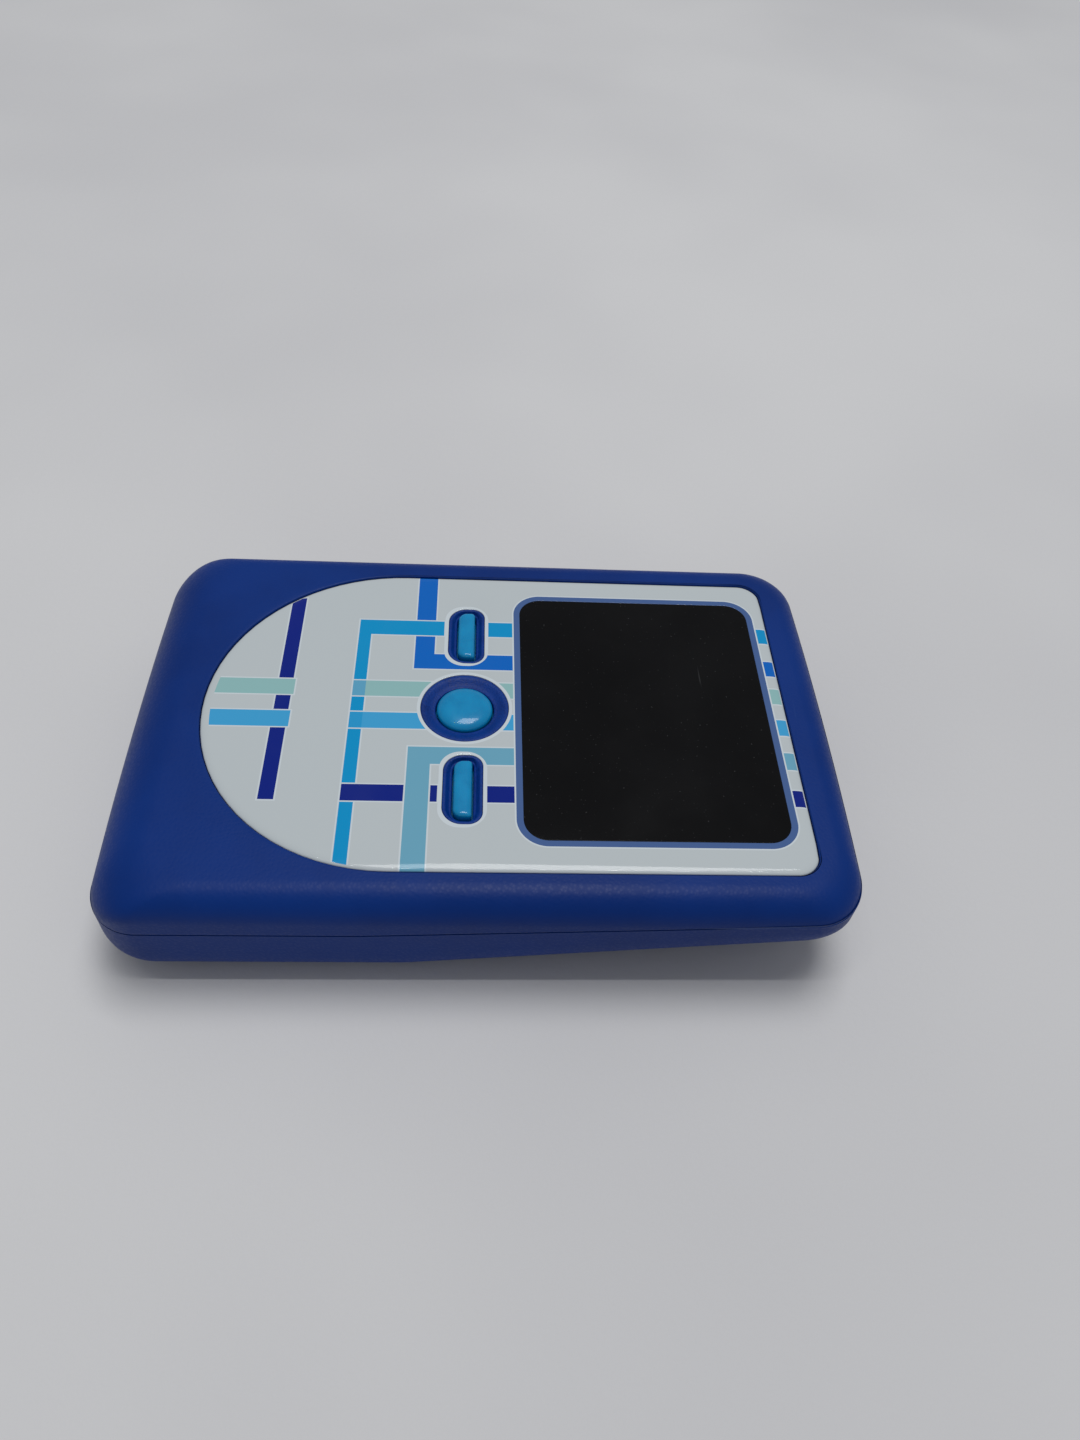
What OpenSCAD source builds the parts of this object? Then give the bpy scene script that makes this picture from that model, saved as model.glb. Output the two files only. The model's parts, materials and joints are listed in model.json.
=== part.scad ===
// Pocket handheld with a colour display, three keys and a camera in its back.
// It lies on its back: +Z comes out of the face, +Y runs to the display end,
// +X is the right-hand side. The origin is under the middle, on the resting surface.

/* [Case] */
// Width of the case
body_w = 60.4; // [59.6:0.1:63]
// Length of the case along its middle
body_l = 92.4; // [91.6:0.1:97]
// Height of the face above the resting surface
body_h = 17.2; // [16.9:0.1:18.4]
// Wall thickness of both shells
wall = 1.8; // [1.5:0.1:1.9]
// Corner radius of the case seen from the front
plan_r = 6.5; // [5:0.1:8]
// Rise of each end outward at its middle
end_bow = 0.6; // [0.3:0.1:1.2]
// Radius of the edge round the face
top_r = 3.8; // [3.2:0.1:4]
// Radius of the rounded nose at the key end
nose_r = 7.7; // [6.5:0.1:8]
// Radius of the underside along both sides
belly_r = 5.5; // [5:0.1:6.4]
// Radius under the key end
heel_r = 8; // [6.5:0.1:8.4]
// Radius under the display end
toe_r = 4; // [3:0.1:4.6]
// Slope of the underside toward the display end, in degrees
ramp_deg = 7.2; // [6:0.1:7.6]
// Where that slope starts
ramp_y = -9.2; // [-10:0.1:-8]

/* [Parting line] */
// Height of the joint between the shells at the key end
part_z = 11; // [10.6:0.1:11.4]
// Slope of the joint toward the display end, in degrees
part_deg = 3.06; // [2.4:0.02:3.4]
// Where that slope starts
part_y = -14.5; // [-20:0.5:-8]
// Height of the lap lip inside the joint
lip_h = 0.8; // [0.6:0.1:0.9]
// Thickness of that lip
lip_t = 0.5; // [0.4:0.05:0.6]

/* [Front panel] */
// Width of the printed front panel
panel_w = 50; // [49.4:0.1:50.6]
// Thickness of the front panel
panel_t = 0.9; // [0.7:0.05:1]
// Display end of the front panel on its middle line
panel_end_y = 40.7; // [40.3:0.1:41.2]
// Width of the display window
window_w = 41.3; // [40.9:0.1:41.8]
// Length of the display window
window_l = 32.7; // [32.2:0.1:33]
// Middle of the display window
window_y = 21.25; // [21:0.05:21.4]

/* [Keys] */
// Row of the three keys
key_y = -2.5; // [-3:0.1:-2.4]
// Distance from the middle key to each long key
key_pitch = 13.2; // [12.9:0.1:13.6]
// Radius of the well round the middle key
well_r = 5.77; // [5.5:0.01:5.9]
// Radius of the middle key
cap_r = 3.65; // [3.4:0.05:3.8]
// Height of the key tops above the face
cap_rise = 0.4; // [0.2:0.05:0.5]
// Press travel of each key
key_travel = 0.3; // [0.2:0.05:0.35]

/* [Cells] */
// Diameter of each cell
cell_d = 10.5; // [10.1:0.1:10.5]
// Length of each cell with its button
cell_l = 44.5; // [44:0.1:44.6]
// Spacing of the three cells
cell_pitch = 11; // [10.8:0.1:11.1]

/* [Hidden] */
$fn = 64;
bow_fn = 1440;

// Colours
royal_blue = "#20407a";
panel_white = "#dfe3e4";
key_blue = "#0a86b8";
window_black = "#0a0b0d";
board_green = "#1f5a3a";
steel = "#b9bcc0";
chip_black = "#1d1e20";
flex_amber = "#c07a2c";
rubber_grey = "#4a4d52";
nickel = "#cfcdc6";

// Fits
seam = 0.05;
slip = 0.15;
play = 0.3;
far = 80;

// Heights, from the face down
panel_z = body_h - panel_t;
plate_z = body_h - wall;
ring_gap = slip;
flange_t = 0.3;
key_z = plate_z - ring_gap - flange_t;
mat_t = 0.4;
mat_z = key_z - mat_t;
board_top = plate_z - 1.3;
board_t = 0.8;
board_z = board_top - board_t;
dome_h = 0.32;

// Cells lie across the width, in a tray under the board
tray_t = 0.8;
tray_top = board_z;
cell_z = tray_top - tray_t - 0.2 - cell_d / 2;
cell_y = -25;
tray_x = 25.4;
tray_y0 = cell_y - cell_pitch - cell_d / 2 - 0.25 - tray_t;
tray_y1 = cell_y + cell_pitch + cell_d / 2 + 0.25 + tray_t;
contact_t = 0.3;
contact_x = tray_x - 1.1 - contact_t;

// Battery door and the rails that hold it
door_t = 1.5;
door_x = 23.4;
door_y1 = -8.6;
door_z = 6;
rail_x = 24.6;
rail_z = cell_z - 3.3;
rail_t = 0.7;

// Slope of the underside, and the centre of its rounded end
ramp_rise = tan(ramp_deg);
toe_y = body_l / 2 - toe_r;
toe_z = (toe_y - ramp_y) * ramp_rise + toe_r / cos(ramp_deg);

// Display module behind the window
lcd_w = 46.4;
lcd_y0 = 4.4;
lcd_y1 = 38.8;
light_t = 1.1;
gasket_t = 0.25;
lcd_top = panel_z - gasket_t;

// Screws
case_screw_x = 20;
case_screw_y = body_l / 2 - 4.4;
case_boss_r = 2.2;
case_head_z = 8.4;
board_screw_x = 25.9;
board_boss_r = 1.8;
board_screw_ys = [-3.5, 36];

// Camera behind the slope
camera_y = 30;
camera_r = 4.4;
seat_z = (camera_y - ramp_y) * ramp_rise + 1.35;

// Angle of the outward normal of the line that touches two circles on their right.
function edge_angle(a, b) =
    let (d = [b[0] - a[0], b[1] - a[1]])
    atan2(d[1], d[0]) - 90 + asin((a[2] - b[2]) / norm(d));

// The two points at which that line touches the circles.
function edge_points(a, b, inset) =
    let (t = edge_angle(a, b), n = [cos(t), sin(t)])
    [[a[0], a[1]] + (a[2] - inset) * n, [b[0], b[1]] + (b[2] - inset) * n];

// A belt drawn tight round circles [x, y, r], listed counter-clockwise, with true arcs.
module belt(circles, inset = 0) {
    last = len(circles) - 1;
    polygon([for (k = [0:last]) each edge_points(circles[k], circles[k == last ? 0 : k + 1], inset)]);
    for (c = circles) translate([c[0], c[1]]) circle(r = c[2] - inset);
}

// Circles for a rectangle with one corner radius.
function corners(w, l, r) = [for (s = [[-1, -1], [1, -1], [1, 1], [-1, 1]])
    [s[0] * (w / 2 - r), s[1] * (l / 2 - r), r]];

// Extrudes a [y, z] outline across the whole width.
module across() {
    rotate([90, 0, 90]) linear_extrude(height = 2 * far, center = true) children();
}

// Extrudes an [x, z] outline along the whole length.
module along() {
    rotate([90, 0, 0]) linear_extrude(height = 4 * far, center = true) children();
}

module plan_outline(inset) {
    bow_r = (pow(body_w / 2, 2) + pow(end_bow, 2)) / (2 * end_bow);
    intersection() {
        belt(corners(body_w, body_l, plan_r), inset);
        translate([0, body_l / 2 - bow_r]) circle(r = bow_r - inset, $fn = bow_fn);
        translate([0, bow_r - body_l / 2]) circle(r = bow_r - inset, $fn = bow_fn);
    }
}

module side_outline(inset) {
    y = body_l / 2;
    belt([[heel_r - y, heel_r, heel_r], [y - toe_r, toe_r, toe_r],
          [y - top_r, body_h - top_r, top_r], [nose_r - y, body_h - nose_r, nose_r]], inset);
}

module front_outline(inset) {
    x = body_w / 2;
    belt([[belly_r - x, belly_r, belly_r], [x - belly_r, belly_r, belly_r],
          [x - top_r, body_h - top_r, top_r], [top_r - x, body_h - top_r, top_r]], inset);
}

// The slope toward the display end, with its rounded toe.
module ramp_outline(inset) {
    run = 1.5 * far;
    belt([[toe_y - run, toe_z - run * ramp_rise, toe_r], [toe_y, toe_z, toe_r],
          [toe_y, far, toe_r], [toe_y - run, far, toe_r]], inset);
}

// The rounded underside, tilted to follow the slope.
module tilted_belly(inset) {
    x = body_w / 2 - belly_r;
    translate([0, ramp_y, 0]) rotate([ramp_deg, 0, 0]) along()
        belt([[-x, belly_r, belly_r], [x, belly_r, belly_r],
              [x, far, belly_r], [-x, far, belly_r]], inset);
}

// The case without the slope of its underside, inset all round.
module level_block(inset = 0) {
    intersection() {
        linear_extrude(height = far) plan_outline(inset);
        across() side_outline(inset);
        along() front_outline(inset);
    }
}

// The whole case as one solid block, inset all round.
module case_block(inset = 0) {
    intersection() {
        level_block(inset);
        across() ramp_outline(inset);
        tilted_belly(inset);
    }
}

// The band from low to high above the joint between the shells.
module joint_band(low, high) {
    rise = (far - part_y) * tan(part_deg);
    across() translate([0, part_z])
        polygon([[-far, low], [part_y, low], [far, low + rise],
                 [far, high + rise], [part_y, high], [-far, high]]);
}

function joint_z(y) = part_z + max(0, y - part_y) * tan(part_deg);

module panel_outline(grow = 0) {
    w = panel_w / 2;
    corner_r = 3;
    bow_r = 428;
    tip_y = -11.06;
    intersection() {
        belt([[0, tip_y, w], [w - corner_r, panel_end_y - 3.5, corner_r],
              [corner_r - w, panel_end_y - 3.5, corner_r]], -grow);
        translate([0, panel_end_y - bow_r]) circle(r = bow_r + grow, $fn = bow_fn);
    }
}

module window_outline(grow = 0) {
    translate([0, window_y]) belt(corners(window_w, window_l, 3), -grow);
}

// Long key shapes: the corners toward the key end are rounder than the others.
module slot_outline(l, w, r_low, r_high, grow = 0) {
    belt([[r_low - l / 2, r_low - w / 2, r_low], [l / 2 - r_low, r_low - w / 2, r_low],
          [l / 2 - r_high, w / 2 - r_high, r_high], [r_high - l / 2, w / 2 - r_high, r_high]], -grow);
}

module long_well(grow = 0) { slot_outline(10.55, 5, 2.49, 1.8, grow); }
module long_cap(grow = 0) { slot_outline(8.5, 2.3, 1.14, 0.4, grow); }

// Places a shape at both long keys.
module at_long_keys() {
    for (s = [-1, 1]) translate([s * key_pitch, key_y]) children();
}

module well_outlines(grow = 0) {
    translate([0, key_y]) circle(r = well_r + grow);
    at_long_keys() long_well(grow);
}

module front_shell() {
    ring_top = body_h;
    dish_r = well_r - 0.7;
    dish_d = 0.5;
    color(royal_blue) difference() {
        union() {
            difference() {
                intersection() {
                    case_block();
                    joint_band(0, far);
                }
                case_block(wall);
                // Rebate that takes the lap lip of the back shell
                intersection() {
                    level_block(wall - lip_t - seam);
                    joint_band(-1, lip_h + slip);
                }
                translate([0, 0, panel_z]) linear_extrude(height = far) panel_outline(slip);
            }
            translate([0, 0, plate_z]) linear_extrude(height = ring_top - plate_z) well_outlines();
            for (s = [-1, 1], y = board_screw_ys)
                translate([s * board_screw_x, y, board_top]) cylinder(r = board_boss_r, h = 1.6);
            for (s = [-1, 1])
                translate([s * case_screw_x, case_screw_y, joint_z(case_screw_y)])
                    cylinder(r = case_boss_r - 0.3, h = plate_z + 0.3 - joint_z(case_screw_y));
        }
        // Opening for the display module
        translate([-lcd_w / 2 - play, lcd_y0 - play, 0]) cube([lcd_w + 2 * play, lcd_y1 - lcd_y0 + 2 * play, far]);
        // Key holes and their dished tops
        translate([0, key_y, 0]) cylinder(r = cap_r + slip, h = far);
        translate([0, key_y, ring_top - dish_d]) cylinder(r1 = cap_r + 0.3, r2 = dish_r, h = dish_d + 0.001);
        at_long_keys() linear_extrude(height = far) long_cap(slip);
        at_long_keys() translate([0, 0, ring_top - dish_d]) linear_extrude(height = far) long_well(-0.9);
        // Blind screw holes
        for (s = [-1, 1], y = board_screw_ys) translate([s * board_screw_x, y, 0]) cylinder(r = 0.7, h = 16);
        for (s = [-1, 1]) translate([s * case_screw_x, case_screw_y, 0]) cylinder(r = 0.8, h = 16);
    }
}

module door_opening(gap = 0) {
    translate([-door_x - gap, -far, -1]) cube([2 * (door_x + gap), far + door_y1 + gap, door_z + 1 + gap]);
}

// The two flanges on which the battery door slides, or the grooves for them.
module door_rails(gap = 0) {
    for (s = [-1, 1]) scale([s, 1, 1])
        translate([door_x - 0.8 - gap, -far, rail_z - gap])
            cube([rail_x - door_x + 0.8 + 2 * gap, far + door_y1 + 1.4, rail_t + 2 * gap]);
}

module back_shell() {
    boss_top = joint_z(case_screw_y);
    color(royal_blue) difference() {
        union() {
            difference() {
                intersection() {
                    case_block();
                    joint_band(-far, 0);
                }
                case_block(wall);
            }
            // Lap lip
            difference() {
                intersection() {
                    level_block(wall - lip_t);
                    joint_band(-0.4, lip_h);
                }
                level_block(wall);
            }
            // Screw columns
            for (s = [-1, 1]) translate([s * case_screw_x, case_screw_y, 7])
                cylinder(r = case_boss_r, h = boss_top - 7);
            // Seat round the camera
            translate([0, camera_y, seat_z - 0.4]) cylinder(r = camera_r + 1.2, h = 1.7);
        }
        door_opening(slip);
        door_rails(0.2);
        for (s = [-1, 1]) translate([s * case_screw_x, case_screw_y, 0]) {
            cylinder(r = 2, h = case_head_z);
            cylinder(r = 0.95, h = far);
        }
        translate([0, camera_y, 0]) cylinder(r = camera_r, h = seat_z);
        translate([0, camera_y, 0]) cylinder(r = 3.5, h = far);
        label_plate(0.1, -1, 0.15);
    }
}

// A plate in the slope of the underside, from low to high above its surface.
module label_plate(grow, low, high) {
    translate([0, ramp_y, 0]) rotate([ramp_deg, 0, 0]) translate([-15 - grow, 6 - grow, low])
        cube([30 + 2 * grow, 16 + 2 * grow, high - low]);
}

module back_label() {
    color("#c9cbcc") label_plate(0, 0.05, 0.15);
}

module battery_door() {
    grip_pitch = 1.6;
    color(royal_blue) difference() {
        union() {
            intersection() {
                difference() {
                    case_block();
                    case_block(door_t);
                }
                door_opening();
            }
            intersection() {
                case_block();
                union() {
                    door_rails();
                    // Webs that join the flanges to the cover
                    for (s = [-1, 1]) scale([s, 1, 1])
                        translate([door_x - 0.8, -far, 1]) cube([0.8, far + door_y1, rail_z + rail_t - 1]);
                }
            }
        }
        // Room for the cells' lower edges
        translate([-cell_l / 2 - play, tray_y0 + tray_t, door_t]) cube([cell_l + 2 * play, far, door_z]);
        // Finger grip
        for (k = [-2:2]) translate([0, -36 + k * grip_pitch, 0]) rotate([0, 90, 0])
            cylinder(r = 0.4, h = 14, center = true);
    }
}

module front_panel() {
    color(panel_white) translate([0, 0, panel_z]) linear_extrude(height = panel_t) difference() {
        panel_outline();
        window_outline(seam);
        well_outlines(seam);
    }
}

module display_window() {
    color(window_black) translate([0, 0, panel_z]) linear_extrude(height = panel_t) window_outline();
}

module centre_button() {
    dome_r = 26;
    top_z = body_h + cap_rise;
    color(key_blue) {
        intersection() {
            translate([0, key_y, key_z]) cylinder(r = cap_r, h = far);
            translate([0, key_y, top_z - dome_r]) sphere(r = dome_r);
        }
        translate([0, key_y, key_z]) cylinder(r = cap_r + 0.6, h = flange_t);
    }
}

module long_button(s) {
    color(key_blue) translate([s * key_pitch, key_y, key_z]) {
        linear_extrude(height = body_h + cap_rise - key_z) long_cap();
        linear_extrude(height = flange_t) long_cap(0.6);
    }
}

module left_button() { long_button(-1); }
module right_button() { long_button(1); }

module keypad_mat() {
    color(rubber_grey) {
        translate([-20, key_y - 5, mat_z]) cube([40, 10.2, mat_t]);
        for (x = [-key_pitch, 0, key_pitch]) translate([x, key_y, board_top + dome_h])
            cylinder(r = 1.2, h = mat_z + 0.1 - board_top - dome_h);
    }
}

module snap_domes() {
    color(steel) for (x = [-key_pitch, 0, key_pitch]) translate([x, key_y, board_top])
        cylinder(r1 = 2.2, r2 = 1.3, h = dome_h);
}

module main_board() {
    front_y = lcd_y1 + 0.2;
    back_y = -40.8;
    color(board_green) translate([0, 0, board_z]) linear_extrude(height = board_t) difference() {
        translate([0, (front_y + back_y) / 2]) belt(corners(54, front_y - back_y, 3));
        for (s = [-1, 1], y = board_screw_ys) translate([s * board_screw_x, y]) circle(r = 0.85);
    }
}

module display_backlight() {
    color(steel) translate([-lcd_w / 2, lcd_y0, board_top]) cube([lcd_w, lcd_y1 - lcd_y0, light_t]);
}

module display_glass() {
    z = board_top + light_t;
    color("#15171a") translate([0.6 - lcd_w / 2, lcd_y0 + 0.4, z])
        cube([lcd_w - 1.2, lcd_y1 - lcd_y0 - 0.8, lcd_top - z]);
}

module display_gasket() {
    color("#26282b") translate([0, 0, lcd_top]) linear_extrude(height = gasket_t) difference() {
        translate([0, window_y]) square([window_w + 3, window_l + 1.2], center = true);
        translate([0, window_y]) square([window_w - 0.4, window_l - 1], center = true);
    }
}

flex_x0 = -16;
flex_w = 10;
flex_t = 0.12;
module display_flex() {
    y0 = lcd_y1;
    y1 = lcd_y1 + 0.4;
    low = board_z - 0.5;
    color(flex_amber) translate([flex_x0, 0, 0]) {
        translate([0, y0, board_top + 0.4]) cube([flex_w, y1 - y0, flex_t]);
        translate([0, y1 - flex_t, low]) cube([flex_w, flex_t, board_top + 0.4 + flex_t - low]);
        translate([0, y1 - 6, low]) cube([flex_w, 6, flex_t]);
    }
}

module flex_connector() {
    color("#e4dfd0") translate([flex_x0 - 1, lcd_y1 - 9.2, board_z - 1]) cube([flex_w + 2, 3.6, 1]);
}

module processor_chip() {
    color(chip_black) translate([3, 3, board_z - 1]) cube([10, 10, 1]);
}

module memory_chip() {
    color(chip_black) translate([-14, 4, board_z - 0.9]) cube([8, 6, 0.9]);
}

module power_inductor() {
    color("#3a3c40") translate([17, 0, board_z - 1.8]) cube([4, 4, 1.8]);
}

module board_capacitors() {
    color("#a98a62") for (k = [0:6])
        translate([-20 + 5.5 * k, -3.6 + 1.2 * (k % 2), board_z - 0.8]) cube([1.6, 0.8, 0.8]);
}

// One cell position: k from 0 to 2, its button toward -X on the even ones.
function cell_at(k) = cell_y + (k - 1) * cell_pitch;
function cell_side(k) = k % 2 == 0 ? -1 : 1;

module at_cells() {
    for (k = [0:2]) translate([0, cell_at(k), cell_z]) rotate([0, 90 * cell_side(k), 0]) children();
}

button_h = 1;
module battery_cells() {
    color("#5b5f66") at_cells() translate([0, 0, -cell_l / 2]) cylinder(d = cell_d, h = cell_l - button_h);
}

module cell_buttons() {
    color(nickel) at_cells() translate([0, 0, cell_l / 2 - button_h]) cylinder(r = 1.9, h = button_h);
}

module positive_contacts() {
    reach = contact_x - cell_l / 2;
    color(nickel) at_cells() {
        translate([-2.2, -3, contact_x]) cube([4.4, 6, contact_t]);
        translate([0, 0, contact_x - reach]) cylinder(r1 = 0.8, r2 = 1.6, h = reach);
    }
}

module spring_plates() {
    color(nickel) at_cells() translate([-2.2, -3, -contact_x - contact_t]) cube([4.4, 6, contact_t]);
}

// Ring k of a coned wire coil: the points round the wire.
function wire_ring(a, z, r, wire_r, sides) = [for (j = [0:sides - 1])
    let (b = 360 * j / sides, d = r + wire_r * cos(b)) [d * cos(a), d * sin(a), z + wire_r * sin(b)]];

module cone_spring(h, r0, r1, turns, wire_r) {
    sides = 6;
    steps = 16 * turns;
    rings = [for (k = [0:steps])
        each wire_ring(360 * k / 16, wire_r + (h - 2 * wire_r) * k / steps, r0 + (r1 - r0) * k / steps, wire_r, sides)];
    walls = [for (k = [0:steps - 1], j = [0:sides - 1])
        let (a = k * sides + j, b = k * sides + (j + 1) % sides) [a, a + sides, b + sides, b]];
    caps = [[for (j = [0:sides - 1]) j], [for (j = [sides - 1:-1:0]) steps * sides + j]];
    polyhedron(points = rings, faces = concat(walls, caps));
}

module contact_springs() {
    h = contact_x - cell_l / 2;
    color(nickel) at_cells() translate([0, 0, -contact_x]) cone_spring(h, 2.1, 1.4, 3, 0.2);
}

module battery_tray() {
    low = rail_z + rail_t + play;
    l = tray_y1 - tray_y0;
    color("#2b3f6d") translate([0, tray_y0, 0]) difference() {
        translate([-tray_x, 0, low]) cube([2 * tray_x, l, tray_top - low]);
        translate([1.1 - tray_x, tray_t, 0]) cube([2 * (tray_x - 1.1), l - 2 * tray_t, tray_top - tray_t]);
    }
}

camera_body_h = 3.9;
module camera_body() {
    color(chip_black) translate([-4.25, camera_y - 4.25, board_z - camera_body_h]) cube([8.5, 8.5, camera_body_h]);
}

module camera_barrel() {
    low = seat_z + 0.5;
    color("#34363a") translate([0, camera_y, low]) difference() {
        cylinder(r = 3.2, h = board_z - camera_body_h - low);
        translate([0, 0, -1]) cylinder(r = 1.8, h = 2);
    }
}

module camera_lens() {
    color("#2a3550") translate([0, camera_y, seat_z + 0.7]) cylinder(r = 1.8, h = 0.8);
}

module camera_seal() {
    color("#26282b") translate([0, camera_y, seat_z]) difference() {
        cylinder(r = 3.3, h = 0.5);
        translate([0, 0, -1]) cylinder(r = 2.4, h = 3);
    }
}

module camera_window() {
    window_t = 0.8;
    color("#101216") translate([0, camera_y, seat_z - window_t]) cylinder(r = camera_r - seam, h = window_t);
}

// A pan-head screw standing on its head, with a cross recess.
module screw(head_r, head_h, shank_r, shank_l) {
    difference() {
        cylinder(r = head_r, h = head_h);
        for (a = [0, 90]) rotate(a) translate([-head_r * 0.6, -0.2, -1]) cube([head_r * 1.2, 0.4, 1.5]);
    }
    translate([0, 0, head_h]) cylinder(r = shank_r, h = shank_l);
}

module case_screws() {
    head_h = 1.2;
    color(steel) for (s = [-1, 1]) translate([s * case_screw_x, case_screw_y, case_head_z - head_h])
        screw(1.7, head_h, 0.8, 15.8 - case_head_z);
}

module board_screws() {
    head_h = 0.8;
    color(steel) for (s = [-1, 1], y = board_screw_ys) translate([s * board_screw_x, y, board_z - head_h])
        screw(1.4, head_h, 0.7, 15.8 - board_z);
}

front_shell();
back_shell();
battery_door();
front_panel();
display_window();
centre_button();
left_button();
right_button();
keypad_mat();
snap_domes();
main_board();
display_glass();
display_backlight();
display_gasket();
display_flex();
flex_connector();
processor_chip();
memory_chip();
power_inductor();
board_capacitors();
battery_tray();
battery_cells();
cell_buttons();
contact_springs();
spring_plates();
positive_contacts();
camera_body();
camera_barrel();
camera_lens();
camera_seal();
camera_window();
case_screws();
board_screws();
back_label();
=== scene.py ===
"""Looks of a pocket handheld with a printed front panel, a dark window and three keys."""

import json
import logging
from collections.abc import Sequence
from dataclasses import dataclass
from enum import Enum
from functools import reduce
from itertools import groupby

import bmesh
import bpy
import numpy as np
from mathutils import Matrix, Vector
from mathutils.geometry import delaunay_2d_cdt

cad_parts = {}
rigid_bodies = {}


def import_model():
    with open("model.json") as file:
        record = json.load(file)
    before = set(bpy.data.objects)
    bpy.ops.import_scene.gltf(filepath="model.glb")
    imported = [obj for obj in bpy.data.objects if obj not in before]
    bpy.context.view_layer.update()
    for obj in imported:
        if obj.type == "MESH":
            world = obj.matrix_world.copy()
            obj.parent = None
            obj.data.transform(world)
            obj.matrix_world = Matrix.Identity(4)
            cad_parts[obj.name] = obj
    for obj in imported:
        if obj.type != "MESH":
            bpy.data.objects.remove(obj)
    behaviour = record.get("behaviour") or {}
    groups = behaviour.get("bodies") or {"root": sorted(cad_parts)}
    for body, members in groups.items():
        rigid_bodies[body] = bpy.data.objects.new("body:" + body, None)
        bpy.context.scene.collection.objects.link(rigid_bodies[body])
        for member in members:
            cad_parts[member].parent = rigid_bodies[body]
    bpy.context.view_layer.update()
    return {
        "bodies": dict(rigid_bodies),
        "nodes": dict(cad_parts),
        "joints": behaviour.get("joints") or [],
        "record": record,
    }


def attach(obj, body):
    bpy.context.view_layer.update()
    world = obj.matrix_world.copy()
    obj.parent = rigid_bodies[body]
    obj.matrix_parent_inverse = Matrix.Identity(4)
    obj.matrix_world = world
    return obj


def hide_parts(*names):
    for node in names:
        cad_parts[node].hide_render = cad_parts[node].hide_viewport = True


MM = 0.001
LOG = logging.getLogger("handheld")
Array = np.ndarray
Rgb = tuple[float, float, float]


class Body(str, Enum):
    """Names of the moving bodies."""

    CASE = "case"
    CENTRE = "centre_button"
    LEFT = "left_button"
    RIGHT = "right_button"
    DOOR = "battery_door"


def linear(red: int, green: int, blue: int) -> Rgb:
    """Turns display colour values from 0 to 255 into linear light.

    Args:
        red: Red value.
        green: Green value.
        blue: Blue value.

    Returns:
        The three linear values.
    """
    c = np.array([red, green, blue]) / 255
    lin = np.where(c <= 0.04045, c / 12.92, ((c + 0.055) / 1.055) ** 2.4)
    return tuple(float(v) for v in lin)


# ---------------------------------------------------------------- shader graph


@dataclass(frozen=True)
class Wire:
    """One value in a shader graph, with the usual arithmetic."""

    graph: "Graph"
    out: bpy.types.NodeSocket

    def __add__(self, other: "Wire | float") -> "Wire":
        """Sum."""
        return self.graph.math("ADD", self, other)

    def __radd__(self, other: float) -> "Wire":
        """Sum with a number on the left."""
        return self.graph.math("ADD", other, self)

    def __sub__(self, other: "Wire | float") -> "Wire":
        """Difference."""
        return self.graph.math("SUBTRACT", self, other)

    def __rsub__(self, other: float) -> "Wire":
        """Difference with a number on the left."""
        return self.graph.math("SUBTRACT", other, self)

    def __mul__(self, other: "Wire | float") -> "Wire":
        """Product."""
        return self.graph.math("MULTIPLY", self, other)

    def __rmul__(self, other: float) -> "Wire":
        """Product with a number on the left."""
        return self.graph.math("MULTIPLY", other, self)

    def __abs__(self) -> "Wire":
        """Absolute value."""
        return self.graph.math("ABSOLUTE", self)

    def below(self, other: "Wire | float") -> "Wire":
        """One where this value is less than the other, else zero."""
        return self.graph.math("LESS_THAN", self, other)

    def above(self, other: "Wire | float") -> "Wire":
        """One where this value is greater than the other, else zero."""
        return self.graph.math("GREATER_THAN", self, other)

    def least(self, other: "Wire | float") -> "Wire":
        """The smaller of two values."""
        return self.graph.math("MINIMUM", self, other)

    def most(self, other: "Wire | float") -> "Wire":
        """The larger of two values."""
        return self.graph.math("MAXIMUM", self, other)

    def ramp(self, low: float, high: float) -> "Wire":
        """Goes smoothly from 0 at low to 1 at high."""
        return self.graph.node(
            "ShaderNodeMapRange",
            {"interpolation_type": "SMOOTHSTEP"},
            {"Value": self, "From Min": low, "From Max": high},
            "Result",
        )


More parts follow.
